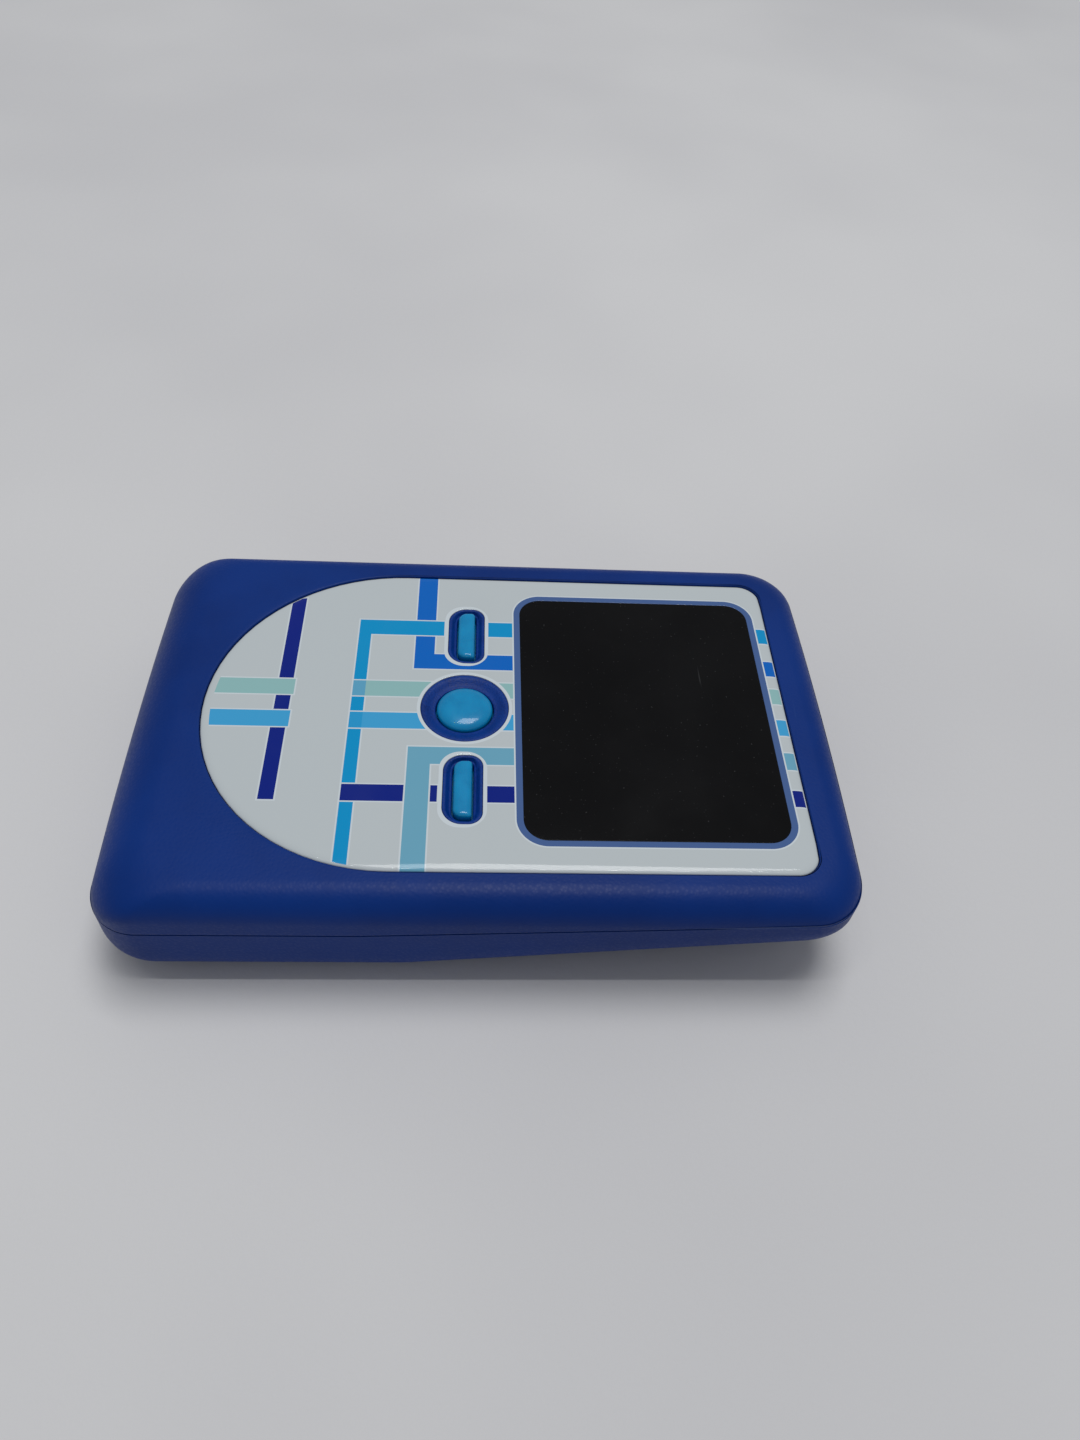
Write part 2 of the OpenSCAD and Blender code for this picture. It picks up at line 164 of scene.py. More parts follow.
class Graph:
    """A material's node tree, with one method for every kind of node."""

    def __init__(self, name: str) -> None:
        """Makes an empty material.

        Args:
            name: Name of the material.
        """
        self.material = bpy.data.materials.new(name)
        self.material.use_nodes = True
        self.tree = self.material.node_tree
        self.tree.nodes.clear()
        coords = self.tree.nodes.new("ShaderNodeTexCoord")
        self.coords = Wire(self, coords.outputs["Object"])

    def node(
        self,
        kind: str,
        settings: dict[str, object],
        inputs: dict[str | int, object],
        out: str | int = 0,
    ) -> Wire:
        """Adds one node.

        Args:
            kind: Blender's name of the node type.
            settings: Node properties, set first.
            inputs: Socket values or links, by name or number.
            out: Output socket to return.

        Returns:
            The chosen output.
        """
        made = self.tree.nodes.new(kind)
        for key, value in settings.items():
            setattr(made, key, value)
        for key, value in inputs.items():
            if isinstance(value, Wire):
                self.tree.links.new(value.out, made.inputs[key])
            elif value is not None:
                made.inputs[key].default_value = value
        return Wire(self, made.outputs[out])

    def math(
        self, operation: str, first: "Wire | float", second: "Wire | float | None" = None
    ) -> Wire:
        """Adds one scalar operation, by its name in the Math node."""
        return self.node("ShaderNodeMath", {"operation": operation}, {0: first, 1: second})

    def mix(self, factor: "Wire | float", first: "Wire | Rgb", second: "Wire | Rgb") -> Wire:
        """Blends two colours.

        Args:
            factor: 0 gives the first, 1 the second.
            first: First colour.
            second: Second colour.

        Returns:
            The blended colour.
        """
        a = first if isinstance(first, Wire) else (*first, 1.0)
        b = second if isinstance(second, Wire) else (*second, 1.0)
        return self.node(
            "ShaderNodeMix", {"data_type": "RGBA"}, {"Factor": factor, 6: a, 7: b}, 2
        )

    def noise(
        self, scale: float, detail: float = 3.0, rough: float = 0.55, at: Wire | None = None
    ) -> Wire:
        """Adds fractal noise, about 0.5 on average, with scale in cycles per metre."""
        inputs = {"Vector": at or self.coords, "Scale": scale, "Detail": detail, "Roughness": rough}
        return self.node("ShaderNodeTexNoise", {}, inputs, "Fac")

    def stretched(self, x: float, y: float, z: float, turn: float = 0.0) -> Wire:
        """Object coordinates scaled along each axis and turned about Z, in radians."""
        inputs = {"Vector": self.coords, "Scale": (x, y, z), "Rotation": (0.0, 0.0, turn)}
        return self.node("ShaderNodeMapping", {}, inputs, "Vector")

    def axes(self) -> tuple[Wire, Wire, Wire]:
        """Object coordinates in millimetres, one value for each axis.

        Returns:
            X, Y and Z.
        """
        split = self.tree.nodes.new("ShaderNodeSeparateXYZ")
        self.tree.links.new(self.coords.out, split.inputs[0])
        return tuple(Wire(self, split.outputs[k]) * (1 / MM) for k in range(3))

    def bump(self, height: Wire, distance: float, strength: float = 1.0) -> Wire:
        """Turns a height from 0 to 1 into a normal, with depth in metres."""
        inputs = {"Height": height, "Distance": distance, "Strength": strength}
        return self.node("ShaderNodeBump", {}, inputs, "Normal")

    def edge_wear(self, size: float) -> Wire:
        """How close a point is to a sharp edge, by comparing the true and a rounded normal.

        Args:
            size: Width of the worn edge in metres.

        Returns:
            0 on flat areas, towards 1 on edges.
        """
        rounded = self.node("ShaderNodeBevel", {"samples": 4}, {"Radius": size}, "Normal")
        flat = self.tree.nodes.new("ShaderNodeNewGeometry")
        dot = self.node(
            "ShaderNodeVectorMath",
            {"operation": "DOT_PRODUCT"},
            {0: rounded, 1: Wire(self, flat.outputs["Normal"])},
            "Value",
        )
        return (1.0 - dot).ramp(0.01, 0.25)

    def finish(self, values: dict[str, object]) -> bpy.types.Material:
        """Adds the surface shader and the output.

        Args:
            values: Shader sockets by name.

        Returns:
            The finished material.
        """
        shader = self.node("ShaderNodeBsdfPrincipled", {}, values, "BSDF")
        out = self.tree.nodes.new("ShaderNodeOutputMaterial")
        self.tree.links.new(shader.out, out.inputs["Surface"])
        return self.material


# ------------------------------------------------------------------- finishes


@dataclass(frozen=True)
class Plastic:
    """A moulded or coated solid colour with grain, colour drift and worn edges."""

    name: str
    colour: Rgb
    roughness: float = 0.45
    grain: float = 2500.0
    grain_depth: float = 0.00001
    drift: float = 0.12
    metallic: float = 0.0
    wear: float = 0.3

    def build(self) -> bpy.types.Material:
        """Makes the material.

        Returns:
            The finished material.
        """
        g = Graph(self.name)
        coarse = g.noise(90.0, 4.0)
        fine = g.noise(self.grain, 2.0)
        worn = g.edge_wear(0.0003) * self.wear
        dark = tuple(v * (1 - self.drift) for v in self.colour)
        light = tuple(min(1.0, v * (1 + self.drift) + 0.004) for v in self.colour)
        pale = tuple(min(1.0, v * 1.5 + 0.03) for v in self.colour)
        tone = g.mix(coarse.ramp(0.3, 0.7), dark, light)
        tone = g.mix(worn, tone, pale)
        rough = self.roughness + (coarse - 0.5) * 0.18 + (fine - 0.5) * 0.12 - worn * 0.1
        return g.finish(
            {
                "Base Color": tone,
                "Roughness": rough,
                "Metallic": self.metallic,
                "Normal": g.bump(fine, self.grain_depth),
            }
        )


@dataclass(frozen=True)
class Brushed:
    """Metal with fine parallel scratches and dull spots."""

    name: str
    colour: Rgb
    roughness: float = 0.3

    def build(self) -> bpy.types.Material:
        """Makes the material.

        Returns:
            The finished material.
        """
        g = Graph(self.name)
        lines = g.noise(1.0, 3.0, 0.6, g.stretched(300.0, 6000.0, 3000.0))
        spots = g.noise(500.0, 4.0)
        dark = tuple(v * 0.7 for v in self.colour)
        tone = g.mix(spots.ramp(0.35, 0.65), dark, self.colour)
        return g.finish(
            {
                "Base Color": tone,
                "Roughness": self.roughness + (lines - 0.5) * 0.3,
                "Metallic": 1.0,
                "Normal": g.bump(lines, 0.000004),
            }
        )


@dataclass(frozen=True)
class Casing:
    """Spark-eroded royal blue moulding: fine leathery texture, faint scuffs, polished edges."""

    name: str = "royal_blue_casing"
    colour: Rgb = linear(2, 49, 126)
    shade: Rgb = linear(0, 42, 113)
    scuff: Rgb = linear(50, 84, 146)
    grain_size: float = 2300.0
    grain_depth: float = 0.000022

    def build(self) -> bpy.types.Material:
        """Makes the material.

        Returns:
            The finished material.
        """
        g = Graph(self.name)
        drift = g.noise(45.0, 4.0)
        cells = g.node(
            "ShaderNodeTexVoronoi",
            {"feature": "F1"},
            {"Vector": g.coords, "Scale": self.grain_size, "Randomness": 1.0},
            "Distance",
        )
        fine = g.noise(self.grain_size * 1.7, 2.0)
        texture = cells.ramp(0.0, 0.75) * 0.7 + fine * 0.3
        scratch = g.noise(1.0, 2.0, 0.5, g.stretched(60.0, 2400.0, 400.0, 0.5)).ramp(0.70, 0.78)
        patches = g.noise(160.0, 3.0).ramp(0.52, 0.70)
        worn = g.edge_wear(0.0004)
        tone = g.mix(drift.ramp(0.3, 0.7), self.shade, self.colour)
        tone = g.mix((scratch * patches * 0.35 + worn * 0.25).least(1.0), tone, self.scuff)
        rough = 0.43 + (drift - 0.5) * 0.10 + (texture - 0.5) * 0.16 - worn * 0.08
        return g.finish(
            {
                "Base Color": tone,
                "Roughness": rough,
                "Specular IOR Level": 0.16,
                "Normal": g.bump(texture, self.grain_depth, 0.55),
            }
        )


@dataclass(frozen=True)
class WellFinish:
    """Coarser navy texture of the dished rings round the keys."""

    name: str = "navy_well"
    colour: Rgb = linear(2, 54, 136)
    shade: Rgb = linear(0, 38, 106)

    def build(self) -> bpy.types.Material:
        """Makes the material.

        Returns:
            The finished material.
        """
        g = Graph(self.name)
        grain = {"Vector": g.coords, "Scale": 4200.0}
        cells = g.node("ShaderNodeTexVoronoi", {"feature": "F1"}, grain, "Distance").ramp(0.0, 0.7)
        drift = g.noise(300.0, 3.0)
        tone = g.mix((drift + cells * 0.3).ramp(0.3, 0.9), self.shade, self.colour)
        return g.finish(
            {
                "Base Color": tone,
                "Roughness": 0.42 + (cells - 0.5) * 0.2,
                "Specular IOR Level": 0.2,
                "Normal": g.bump(cells, 0.00003, 0.6),
            }
        )


@dataclass(frozen=True)
class KeyFinish:
    """Glossy cyan key with a slight depth of colour and fine handling marks."""

    name: str = "cyan_key"
    colour: Rgb = linear(2, 142, 196)
    shade: Rgb = linear(0, 132, 186)

    def build(self) -> bpy.types.Material:
        """Makes the material.

        Returns:
            The finished material.
        """
        g = Graph(self.name)
        drift = g.noise(400.0, 3.0)
        marks = g.noise(1.0, 2.0, 0.5, g.stretched(500.0, 5000.0, 900.0, 0.3))
        tone = g.mix(drift.ramp(0.3, 0.7), self.shade, self.colour)
        rough = 0.28 + (drift - 0.5) * 0.08 + marks.ramp(0.62, 0.75) * 0.12
        return g.finish(
            {
                "Base Color": tone,
                "Roughness": rough,
                "Subsurface Weight": 0.06,
                "Subsurface Radius": (0.0006, 0.0012, 0.002),
                "Subsurface Scale": 1.0,
                "Specular IOR Level": 0.2,
                "Coat Weight": 0.5,
                "Coat Roughness": 0.05,
                "Normal": g.bump(drift, 0.000002, 0.1),
            }
        )


@dataclass(frozen=True)
class GlassFinish:
    """Dark window: near black under a hard gloss, with dust and hairline scratches."""

    name: str = "dark_window"
    colour: Rgb = (0.0035, 0.0035, 0.004)
    dust: Rgb = (0.055, 0.055, 0.058)

    def build(self) -> bpy.types.Material:
        """Makes the material.

        Returns:
            The finished material.
        """
        g = Graph(self.name)
        haze = g.noise(60.0, 4.0).ramp(0.35, 0.75)
        specks = g.noise(3300.0, 1.0).ramp(0.73, 0.80)
        hair = g.noise(1.0, 1.0, 0.5, g.stretched(70.0, 3000.0, 1.0, 0.35)).ramp(0.76, 0.80)
        patch = g.noise(70.0, 2.0).ramp(0.50, 0.62)
        dirt = (specks * 0.5 + hair * patch * 0.5 + haze * 0.035).least(1.0)
        tone = g.mix(dirt, self.colour, self.dust)
        return g.finish(
            {
                "Base Color": tone,
                "Roughness": 0.16 + haze * 0.06 + specks * 0.3,
                "Specular IOR Level": 0.12,
                "Normal": g.bump(haze, 0.00001, 0.2),
            }
        )


class Ink(Enum):
    """Printing inks of the front panel, in linear light."""

    GROUND = linear(193, 201, 204)
    CYAN = linear(0, 148, 206)
    MID_BLUE = linear(0, 102, 196)
    SAGE = linear(146, 190, 190)
    SKY = linear(64, 164, 216)
    TEAL = linear(110, 170, 195)
    NAVY = linear(0, 30, 130)
    RIM = linear(72, 100, 152)
    KEYLINE = linear(208, 217, 222)


@dataclass(frozen=True)
class Band:
    """A printed stripe, from one corner to the other, in millimetres on the face."""

    ink: Ink
    x: tuple[float, float]
    y: tuple[float, float]
    veil: float = 1.0
    margin: float = 0.3

    def mask(self, x: Wire, y: Wire, grow: float) -> Wire:
        """One inside the stripe and zero outside.

        Args:
            x: X in millimetres.
            y: Y in millimetres.
            grow: How far the stripe is widened on every side.

        Returns:
            The mask.
        """
        off_x = abs(x - sum(self.x) / 2).below((self.x[1] - self.x[0]) / 2 + grow)
        off_y = abs(y - sum(self.y) / 2).below((self.y[1] - self.y[0]) / 2 + grow)
        return off_x * off_y


# ------------------------------------------------------------------- surfaces


class Shell:
    """A mesh put together from grids and flat caps, then welded."""

    def __init__(self, name: str) -> None:
        """Starts an empty mesh.

        Args:
            name: Name of the piece.
        """
        self.name = name
        self.points: list[Array] = []
        self.quads: list[Array] = []
        self.triangles: list[Array] = []
        self.count = 0

    def grid(self, points: Array, loop: bool = False) -> None:
        """Adds a grid of points whose columns close on themselves.

        The grid is P(row, column). With columns counter-clockwise seen from above and rows going
        up or inward, faces point outward. With loop, the last row joins the first.

        Args:
            points: Array of rows, columns and three coordinates, in millimetres.
            loop: Whether the rows close on themselves as well.
        """
        rows, cols = points.shape[:2]
        index = np.arange(rows * cols).reshape(rows, cols) + self.count
        upper = np.roll(index, -1, 0) if loop else index[1:]
        lower = index if loop else index[:-1]
        around = [lower, np.roll(lower, -1, 1), np.roll(upper, -1, 1), upper]
        self.quads.append(np.stack(around, -1).reshape(-1, 4))
        self.points.append(points.reshape(-1, 3))
        self.count += rows * cols

    def cap(self, outer: Array, holes: Sequence[Array], height: float, up: bool = True) -> None:
        """Adds a flat sheet between one outer outline and its holes.

        Args:
            outer: Outline counter-clockwise, in millimetres.
            holes: Outlines of the holes.
            height: Z in millimetres.
            up: Whether it faces up.
        """
        loops = [outer, *holes]
        starts = np.cumsum([0] + [len(loop) for loop in loops])
        edges = [
            (int(a + k), int(a + (k + 1) % (b - a)))
            for a, b in zip(starts[:-1], starts[1:])
            for k in range(b - a)
        ]
        flat = [Vector(p) for p in np.concatenate(loops).tolist()]
        found, _, faces, *_ = delaunay_2d_cdt(flat, edges, [], 1, 1e-6)
        xy = np.array([p[:] for p in found])
        tri = np.array(faces)
        mid = xy[tri].mean(1)
        keep = np.ones(len(tri), bool)
        for hole in holes:
            keep &= ~inside(mid, hole)
        tri = tri[keep]
        a, b, c = xy[tri[:, 0]], xy[tri[:, 1]], xy[tri[:, 2]]
        turn = (b[:, 0] - a[:, 0]) * (c[:, 1] - a[:, 1]) - (b[:, 1] - a[:, 1]) * (c[:, 0] - a[:, 0])
        wrong = (turn < 0) == up
        tri[wrong] = tri[wrong][:, ::-1]
        self.triangles.append(tri + self.count)
        self.points.append(np.column_stack([xy, np.full(len(xy), height)]))
        self.count += len(xy)

    def build(self, angle: float = 35.0) -> bpy.types.Object:
        """Makes the object, welds its seams and shades it smooth up to an angle.

        Args:
            angle: Edges sharper than this, in degrees, stay sharp.

        Returns:
            The new object.
        """
        mesh = bpy.data.meshes.new(self.name)
        faces = [f.tolist() for f in self.quads + self.triangles]
        flat = [face for group in faces for face in group]
        mesh.from_pydata((np.concatenate(self.points) * MM).tolist(), [], flat)
        made = bpy.data.objects.new(self.name, mesh)
        bpy.context.scene.collection.objects.link(made)
        weld(mesh, angle)
        return made


def weld(mesh: bpy.types.Mesh, angle: float) -> None:
    """Merges doubled vertices, then shades smooth up to an angle.

    Args:
        mesh: The mesh.
        angle: Edges sharper than this, in degrees, stay sharp.
    """
    work = bmesh.new()
    work.from_mesh(mesh)
    bmesh.ops.remove_doubles(work, verts=work.verts, dist=0.000002)
    bmesh.ops.dissolve_degenerate(work, edges=work.edges, dist=0.0000005)
    work.to_mesh(mesh)
    work.free()
    mesh.polygons.foreach_set("use_smooth", np.ones(len(mesh.polygons), bool))
    mesh.set_sharp_from_angle(angle=float(np.radians(angle)))
    mesh.update()


def inside(points: Array, loop: Array) -> Array:
    """Tells which points lie inside a convex outline that runs counter-clockwise.

    Args:
        points: Points to test.
        loop: The outline.

    Returns:
        One truth value for each point.
    """
    edge = np.roll(loop, -1, 0) - loop
    rel = points[:, None] - loop[None]
    side = edge[None, :, 0] * rel[..., 1] - edge[None, :, 1] * rel[..., 0]
    return (side > -1e-7).all(1)


def belt(circles: Sequence[tuple[float, float, float]], count: int) -> Array:
    """Outline of a belt drawn tight round circles, evenly spaced along its length.

    Each circle gives the arc between the outward normals of the two straight runs that touch it.

    Args:
        circles: Centre x, centre y and radius of each, counter-clockwise, in millimetres.
        count: Number of points.

    Returns:
        The outline.
    """
    c = np.array(circles, float)
    step = np.roll(c, -1, 0) - c
    normal = np.arctan2(step[:, 1], step[:, 0]) - np.pi / 2
    normal += np.arcsin((c[:, 2] - np.roll(c[:, 2], -1)) / np.hypot(step[:, 0], step[:, 1]))
    start = np.roll(normal, 1)
    turn = (normal - start) % (2 * np.pi)
    t = np.linspace(0, 1, 40)
    angle = start[:, None] + turn[:, None] * t
    arcs = c[:, None, :2] + c[:, None, 2:] * np.stack([np.cos(angle), np.sin(angle)], -1)
    return even(arcs.reshape(-1, 2), count)


def even(loop: Array, count: int) -> Array:
    """Points at equal steps along a closed outline.

    Args:
        loop: The outline.
        count: Number of points.

    Returns:
        The new outline.
    """
    closed = np.vstack([loop, loop[:1]])
    run = np.concatenate([[0], np.cumsum(np.hypot(*np.diff(closed, axis=0).T))])
    at = np.arange(count) * run[-1] / count
    return np.column_stack([np.interp(at, run, closed[:, k]) for k in range(2)])


def grown(loop: Array, amount: float) -> Array:
    """Moves an outline outward along its normals.

    Args:
        loop: Outline counter-clockwise.
        amount: Distance outward, or inward if negative.

    Returns:
        The new outline.
    """
    tangent = np.roll(loop, -1, 0) - np.roll(loop, 1, 0)
    tangent /= np.hypot(*tangent.T)[:, None]
    return loop + amount * np.column_stack([tangent[:, 1], -tangent[:, 0]])


def rounded(
    w: float, l: float, r: float, x: float = 0.0, y: float = 0.0, count: int = 240
) -> Array:
    """A rectangle with rounded corners: width, length, corner radius and middle."""
    a, b = w / 2 - r, l / 2 - r
    return belt([(x - a, y - b, r), (x + a, y - b, r), (x + a, y + b, r), (x - a, y + b, r)], count)


def stack(loop: Array, profile: Sequence[tuple[float, float]]) -> Array:
    """Grid whose row k is the outline grown by the k-th offset, at the k-th height."""
    rows = [np.column_stack([grown(loop, d), np.full(len(loop), z)]) for d, z in profile]
    return np.array(rows)


def stack_flat(loop: Array, heights: Sequence[float]) -> Array:
    """Grid of one outline repeated at each height."""
    return np.array([np.column_stack([loop, np.full(len(loop), z)]) for z in heights])


def quarter(
    d0: float, z0: float, d1: float, z1: float, steps: int = 6
) -> list[tuple[float, float]]:
    """Offsets and heights of a quarter ellipse, upright at the start and level at the end."""
    t = np.linspace(0, np.pi / 2, steps + 1)
    return list(zip(d1 + (d0 - d1) * np.cos(t), z0 + (z1 - z0) * np.sin(t)))


def prism(name: str, outline: Array, low: float, high: float) -> bpy.types.Object:
    """A closed upright prism on an outline.

    Args:
        name: Name of the object.
        outline: Outline counter-clockwise, in millimetres.
        low: Height of its base.
        high: Height of its top.

    Returns:
        The new object.
    """
    shell = Shell(name)
    shell.grid(stack_flat(outline, [low, high]))
    shell.cap(outline, [], high)
    shell.cap(outline, [], low, up=False)
    return shell.build(10)


def smooth_most(a: Array, b: Array, width: float) -> Array:
    """The larger of two values, blended where they are closer than width."""
    near = np.maximum(width - abs(a - b), 0) / width
    return np.maximum(a, b) + near * near * width / 4


@dataclass
class Assembly:
    """Common steps of every sub-assembly."""

    def place(
        self,
        piece: bpy.types.Object,
        finish: bpy.types.Material,
        body: Body,
        stands_for: Sequence[str] = (),
        slot: str | None = None,
    ) -> None:
        """Gives a piece its finish and its place in the moving frame.

        Args:
            piece: The new object.
            finish: Its material.
            body: The body it moves with.
            stands_for: CAD nodes that it replaces.
            slot: Not used.
        """
        piece.data.materials.clear()
        piece.data.materials.append(finish)
        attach(piece, body.value)
        if stands_for:
            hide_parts(*stands_for)
        LOG.info("%s on %s: %d faces", piece.name, body.value, len(piece.data.polygons))


# ----------------------------------------------------------------- assemblies


@dataclass
class Case(Assembly):
    """Both halves of the moulded case, with the joint between them, and the battery door."""

    width: float = 60.4
    length: float = 92.4
    height: float = 17.2
    plan_r: float = 6.5
    corner_gain: float = 8.0
    bow: float = 0.6
    side_r: float = 3.8
    nose_r: float = 7.7
    belly_r: float = 6.4
    heel_r: float = 8.0
    toe_r: float = 4.0
    ramp_deg: float = 7.2
    ramp_y: float = -9.2
    joint_z: float = 11.0
    joint_rise: float = float(np.tan(np.radians(3.06)))
    joint_y: float = -14.5
    wall: float = 1.8
    lip: float = 0.34
    door_x: float = 23.4
    door_y: float = -8.6
    door_z: float = 6.0
    columns: int = 720
    flange_mid: float = -24.6
    flange_z: tuple[float, float] = (3.75, 4.45)
    web_foot: float = 1.2
    grip_y: float = -36.0
    grip_step: float = 1.6
    screw: tuple[float, float] = (20.0, 41.8)
    screw_r: float = 2.0
    camera_y: float = 30.0
    camera_r: float = 4.4
    label: tuple[float, float, float] = (15.1, 5.9, 22.1)
    label_depth: float = 0.16

    def loop_frame(self) -> tuple[Array, Array, Array]:
        """Position along the case's outline.

        A rounded rectangle is a corner centre times (cx, cy) plus its radius times the normal's
        cosine and sine. Corners turn the normal, and straight runs move the centre.

        Returns:
            cx, cy and the normal's angle for each column.
        """
        share = np.array([2.0, 3.0, 1.0, 3.0, 2.0, 3.0, 1.0, 3.0])
        knots = np.concatenate([[0], np.cumsum(share)]) / share.sum()
        u = np.arange(self.columns) / self.columns
        cx = np.interp(u, knots, [1, 1, 1, -1, -1, -1, -1, 1, 1])
        cy = np.interp(u, knots, [-1, 1, 1, 1, 1, -1, -1, -1, -1])
        angle = np.interp(u, knots, np.radians([0, 0, 90, 90, 180, 180, 270, 270, 360]))
        return cx, cy, angle

    def ends(self) -> tuple[Array, Array]:
        """How much each column belongs to the key end and to the display end."""
        sine = np.sin(self.loop_frame()[2])
        return np.clip(-sine, 0, 1) ** 2, np.clip(sine, 0, 1) ** 2

    def outline(
        self, in_x: Array, in_low: Array, in_high: Array, r: float | Array
    ) -> Array:
        """The case's outline, set in on each side.

        Args:
            in_x: Inset of both sides.
            in_low: Inset of the key end.
            in_high: Inset of the display end.
            r: Corner radius.

        Returns:
            X and Y for each row and column.
        """
        cx, cy, angle = self.loop_frame()
        a = self.width / 2 - in_x
        low = in_low - self.length / 2
        high = self.length / 2 - in_high
        x = (a - r) * cx + r * np.cos(angle)
        y = (low + high) / 2 + ((high - low) / 2 - r) * cy + r * np.sin(angle)
        # The ends draw in by the bow toward the corners, faded out along the sides.
        bow = self.bow * (x / (self.width / 2)) ** 2
        return np.stack([x, y - bow * np.clip(y / (self.length / 2), -1, 1) ** 5], -1)

    def edge_y(self) -> Array:
        """Position along the case of each column of the full outline."""
        zero = np.zeros(self.columns)
        return self.outline(zero, zero, zero, self.plan_r)[:, 1]

    def joint(self, y: Array) -> Array:
        """Height of the joint between the halves."""
        return self.joint_z + np.maximum(y - self.joint_y, 0) * self.joint_rise

    def base(self, y: Array) -> Array:
        """Height of the underside: flat, then rising toward the display end."""
        return smooth_most(0 * y, (y - self.ramp_y) * np.tan(np.radians(self.ramp_deg)), 0.12)

    def lower_radius(self) -> Array:
        """Radius of the underside's rounding at each column."""
        key, display = self.ends()
        side = 1 - key - display
        return self.belly_r * side + self.heel_r * key + self.toe_r * display

    def lower_curl(self, y: Array, z: Array) -> Array:
        """How far the round underside has drawn in at a height: r (1 - cos t), as a share of r.

        Args:
            y: Position along the case.
            z: Height.

        Returns:
            The share, from 0 where the wall is upright.
        """
        r = self.lower_radius()
        sine = np.clip((self.base(y) + r - z) / r, 0, 1)
        return 1 - np.sqrt(1 - sine**2)

    def upper(self, steps: int, inset: float) -> Array:
        """The surface from the joint up to the flat face, set in by a wall.

        At each column the profile is upright, then a quarter circle whose radius goes from the
        side's to the nose's round the corner: z = top - r (1 - sin t), inset = r (1 - cos t).
        Where the round underside reaches above the joint, the two insets add as sides of a
        right triangle do.

        Args:
            steps: Number of rows of the quarter circle.
            inset: Distance inside the outer surface.

        Returns:
            Grid of rows, columns and three coordinates.
        """
        reach = self.side_r + (self.nose_r - self.side_r) * self.ends()[0]
        y = self.edge_y()
        floor = self.joint(y)
        first = np.arcsin(np.clip(1 - (self.height - floor) / reach, 0, 1))
        t = first + (np.pi / 2 - first) * np.linspace(0, 1, steps)[:, None]
        z = self.height - inset - (reach - inset) * (1 - np.sin(t))
        z = np.concatenate([floor + (z[0] - floor) * np.array([[0.0], [0.34], [0.67]]), z])
        t = np.concatenate([t[:1].repeat(3, 0), t])
        top, low = 1 - np.cos(t), self.lower_curl(y, z)
        set_in = [
            inset + np.hypot(above * top, under * low)
            for above, under in (
                (self.side_r - inset, self.belly_r),
                (self.nose_r - inset, self.heel_r),
                (self.side_r - inset, self.toe_r),
            )
        ]
        return np.concatenate([self.outline(*set_in, self.plan_r), z[..., None]], -1)

    def lower(self, steps: int, inset: float) -> Array:
        """The surface from the middle of the underside out and up to the joint, set in by a wall.

        At each column the profile is upright below the joint, then z = base + r (1 - sin t) with
        inset r (1 - cos t), and then it runs straight in to a line along the middle.

        Args:
            steps: Number of rows of the rounding.
            inset: Distance inside the outer surface.

        Returns:
            Grid of rows, columns and three coordinates.
        """
        y = self.edge_y()
        r = self.lower_radius()
        centre, floor = self.base(y) + r, self.joint(y)
        first = np.arcsin(np.clip((centre - floor) / r, 0, 1))
        t = first + (np.pi / 2 - first) * np.linspace(0, 1, steps)[:, None]
        curl = 1 - np.cos(t)
        set_in = [inset + (q - inset) * curl for q in (self.belly_r, self.heel_r, self.toe_r)]
        xy = self.outline(*set_in, self.plan_r + self.corner_gain * curl**2)
        z = self.base(xy[..., 1]) + r - (r - inset) * np.sin(t)
        grid = np.concatenate([xy, z[..., None]], -1)
        wall = grid[:1].repeat(4, 0)
        wall[..., 2] = floor + (grid[0, :, 2] - floor) * np.linspace(0, 0.8, 4)[:, None]
        rim = grid[-1]
        spine = rim * np.array([0.0, 0.62, 0.0])
        s = np.linspace(0, 1, 26)[1:, None, None]
        inner = rim * (1 - s) + spine * s
        inner[..., 2] = self.base(inner[..., 1]) + inset
        return np.concatenate([wall, grid, inner])[::-1]

    def front(self, panel: "FrontPanel") -> Array:
        """Closed ring surface of the front half: outer skin, recess for the panel, inner skin.

        Args:
            panel: The panel that lies in the recess.

        Returns:
            Grid of rows, columns and three coordinates, closed both ways.
        """
        outer = self.upper(26, 0.0)
        out = outer[0, :, :2]
        normal = self.loop_frame()[2]
        away = np.stack([np.cos(normal), np.sin(normal)], -1)
        lip = [
            np.column_stack([out - away * d, self.joint(out[:, 1]) + z])
            for d, z in [(self.lip + 0.1, 0.0), (self.lip * 0.5, 0.04), (0.04, self.lip * 0.45)]
        ]
        outer[0, :, 2] = self.joint(out[:, 1]) + self.lip
        outer[1:3, :, 2] = np.maximum(outer[1:3, :, 2], outer[0, :, 2] + 0.02)
        rim = outer[-1]
        fit, ledge, depth = 0.12, -1.4, 0.9
        seat = panel.matched(rim[:, :2], fit)
        flat = [rim + (np.column_stack([seat, rim[:, 2]]) - rim) * k for k in (0.3, 0.65, 0.9)]
        recess = [
            (0.30, 0.0), (0.20, 0.03), (0.14, 0.10), (fit, 0.25),
            (fit, depth), (ledge, depth), (ledge, self.wall),
        ]
        edge = [
            np.column_stack([panel.matched(rim[:, :2], d), np.full(self.columns, self.height - z)])
            for d, z in recess
        ]
        inner = self.upper(10, self.wall)[::-1]
        return np.concatenate([lip, outer, flat, edge, inner])

    def bowl(self, name: str) -> bpy.types.Object:
        """The whole lower half with the door still part of it.

        Args:
            name: Name of the piece.

        Returns:
            The new object.
        """
        shell = Shell(name)
        outer, inner = self.lower(22, 0.0), self.lower(12, self.wall)[::-1]
        shell.grid(np.concatenate([outer, inner]))
        return shell.build(40)

